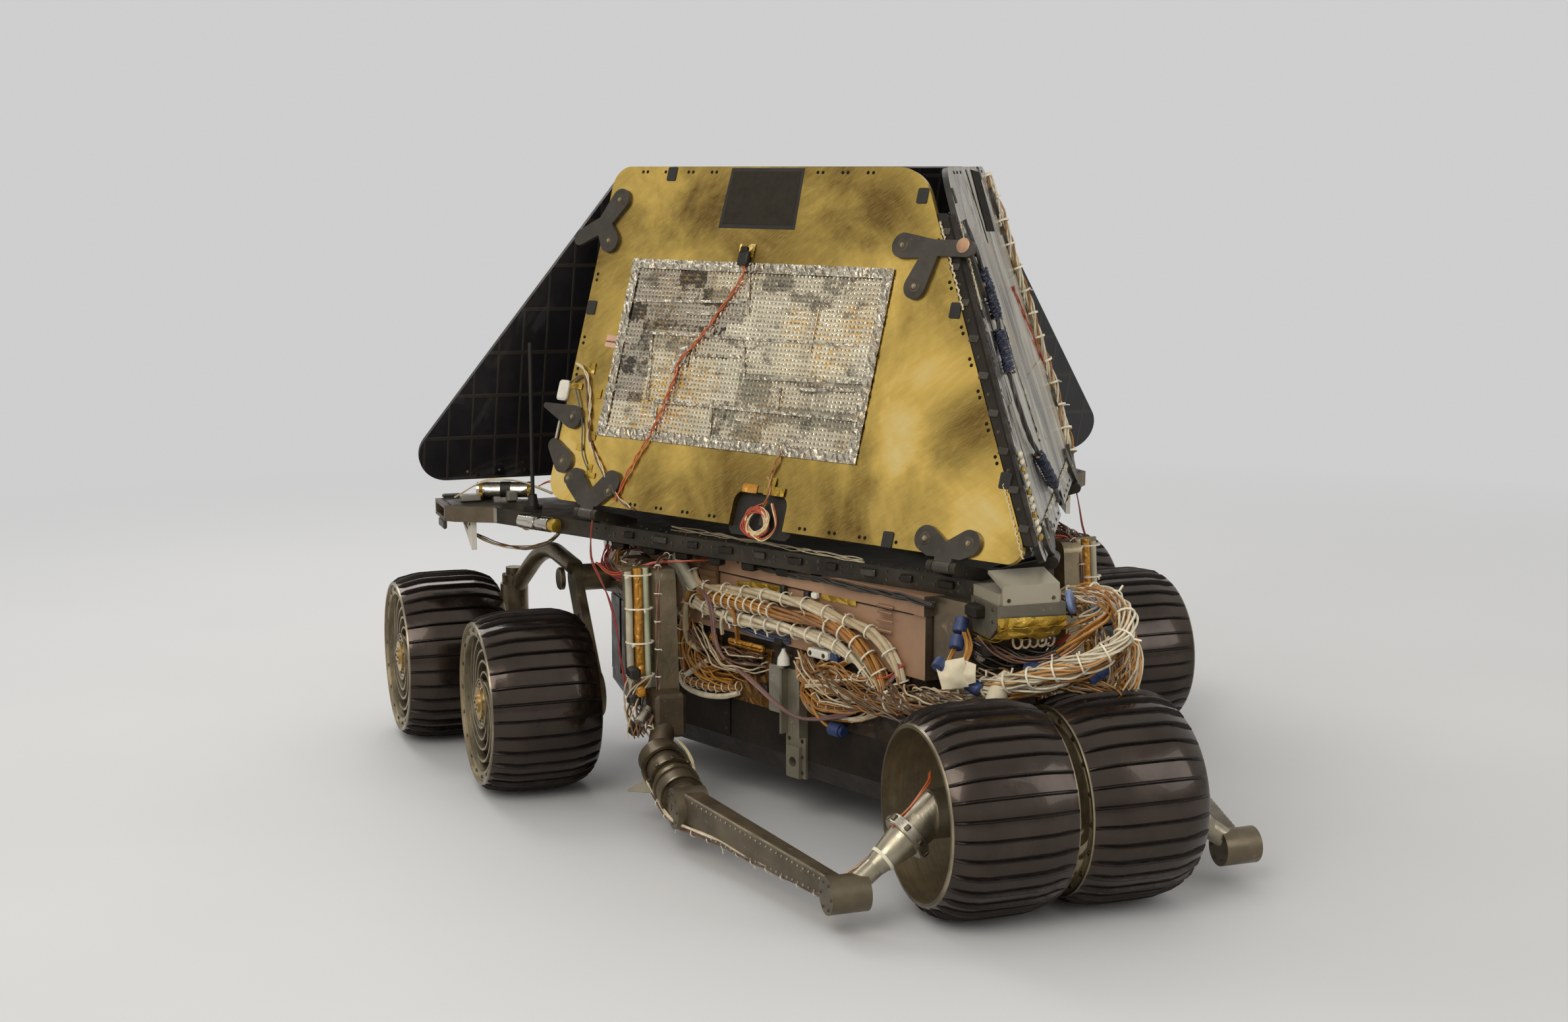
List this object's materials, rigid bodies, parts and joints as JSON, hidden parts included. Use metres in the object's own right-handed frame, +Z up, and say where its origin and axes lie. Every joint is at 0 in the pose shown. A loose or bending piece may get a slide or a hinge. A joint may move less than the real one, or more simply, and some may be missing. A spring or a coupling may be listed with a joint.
{
  "type": "mars rover",
  "caption": "Six-wheeled planetary rover with its triangular solar panels folded up into a tent above a boxy body.",
  "frame": {"origin": "on the ground under the middle of the wheels' outline", "axes": "+X to the nose, +Y to the rover's left, +Z up"},
  "size_m": [1.294, 1.22, 0.8888],
  "materials": {
    "body_paint": "satin gold-brown film",
    "dark_frame": "matte dark frame",
    "light_grey": "light grey plate",
    "silver_foil": "crinkled silver tape",
    "white_paint": "white thermal paint",
    "black_paint": "black",
    "gold_plate": "satin brushed gold",
    "panel_black": "black cell side",
    "titanium": "satin titanium grey",
    "harness": "white and orange film wrap",
    "wheel_black": "black anodised",
    "wheel_hub": "tan silver"
  },
  "bodies": {
    "root": {"body_shell": "body_paint", "deck": "dark_frame", "deck_hinges": "dark_frame", "nose_box": "light_grey", "front_camera_box": "silver_foil", "nose_plate": "dark_frame", "wall_brackets": "light_grey", "deck_gussets": "white_paint", "hinge_motors": "silver_foil", "mast": "white_paint", "camera_bar": "white_paint", "high_gain_antenna": "gold_plate", "low_gain_antenna": "white_paint", "whip_antenna": "black_paint", "calibration_target": "white_paint", "rear_camera_box": "silver_foil", "nose_harness": "harness", "left_rocker": "titanium", "left_elbow": "titanium", "left_front_arm": "titanium", "left_front_drive": "titanium", "left_bogie": "titanium", "left_middle_drive": "titanium", "left_steering_actuator": "titanium", "left_harness": "harness", "right_rocker": "titanium", "right_elbow": "titanium", "right_front_arm": "titanium", "right_front_drive": "titanium", "right_bogie": "titanium", "right_middle_drive": "titanium", "right_steering_actuator": "titanium", "right_harness": "harness"},
    "left_steering": {"left_rear_fork": "titanium", "left_rear_drive": "titanium"},
    "right_steering": {"right_rear_fork": "titanium", "right_rear_drive": "titanium"},
    "front_left_wheel": {"front_left_rim": "wheel_black", "front_left_hub": "wheel_hub"},
    "front_right_wheel": {"front_right_rim": "wheel_black", "front_right_hub": "wheel_hub"},
    "middle_left_wheel": {"middle_left_rim": "wheel_black", "middle_left_hub": "wheel_hub"},
    "middle_right_wheel": {"middle_right_rim": "wheel_black", "middle_right_hub": "wheel_hub"},
    "rear_left_wheel": {"rear_left_rim": "wheel_black", "rear_left_hub": "wheel_hub"},
    "rear_right_wheel": {"rear_right_rim": "wheel_black", "rear_right_hub": "wheel_hub"},
    "left_wing_body": {"left_wing": "silver_foil", "left_wing_hinges": "dark_frame", "left_wing_latches": "dark_frame", "left_tip_panel": "panel_black"},
    "right_wing_body": {"right_wing": "gold_plate", "right_wing_hinges": "dark_frame", "right_wing_latches": "dark_frame", "right_tip_panel": "panel_black"},
    "rear_panel_body": {"rear_panel": "panel_black", "rear_panel_hinges": "dark_frame"}
  },
  "joints": [
    {"name": "left_rear_steer", "type": "hinge", "parent": "root", "child": "left_steering", "pos_m": [-0.517, 0.42, 0.185], "axis": [0, 0, 1], "range_deg": [-25, 25]},
    {"name": "right_rear_steer", "type": "hinge", "parent": "root", "child": "right_steering", "pos_m": [-0.517, -0.42, 0.185], "axis": [0, 0, 1], "range_deg": [-25, 25]},
    {"name": "front_left_spin", "type": "hinge", "parent": "root", "child": "front_left_wheel", "pos_m": [0.517, 0.088, 0.13], "axis": [0, 1, 0], "continuous": true},
    {"name": "front_right_spin", "type": "hinge", "parent": "root", "child": "front_right_wheel", "pos_m": [0.517, -0.088, 0.13], "axis": [0, 1, 0], "continuous": true},
    {"name": "middle_left_spin", "type": "hinge", "parent": "root", "child": "middle_left_wheel", "pos_m": [-0.182, 0.473, 0.13], "axis": [0, 1, 0], "continuous": true},
    {"name": "middle_right_spin", "type": "hinge", "parent": "root", "child": "middle_right_wheel", "pos_m": [-0.182, -0.473, 0.13], "axis": [0, 1, 0], "continuous": true},
    {"name": "rear_left_spin", "type": "hinge", "parent": "left_steering", "child": "rear_left_wheel", "pos_m": [-0.517, 0.53, 0.13], "axis": [0, 1, 0], "continuous": true},
    {"name": "rear_right_spin", "type": "hinge", "parent": "right_steering", "child": "rear_right_wheel", "pos_m": [-0.517, -0.53, 0.13], "axis": [0, 1, 0], "continuous": true},
    {"name": "left_wing_open", "type": "hinge", "parent": "root", "child": "left_wing_body", "pos_m": [0.0145, 0.28839, 0.4], "axis": [-0.866, 0.5, 0], "range_deg": [0, 108]},
    {"name": "right_wing_open", "type": "hinge", "parent": "root", "child": "right_wing_body", "pos_m": [0.0145, -0.28839, 0.4], "axis": [0.866, 0.5, 0], "range_deg": [0, 108]},
    {"name": "rear_panel_open", "type": "hinge", "parent": "root", "child": "rear_panel_body", "pos_m": [-0.485, 0, 0.4], "axis": [0, -1, 0], "range_deg": [0, 108]}
  ]
}
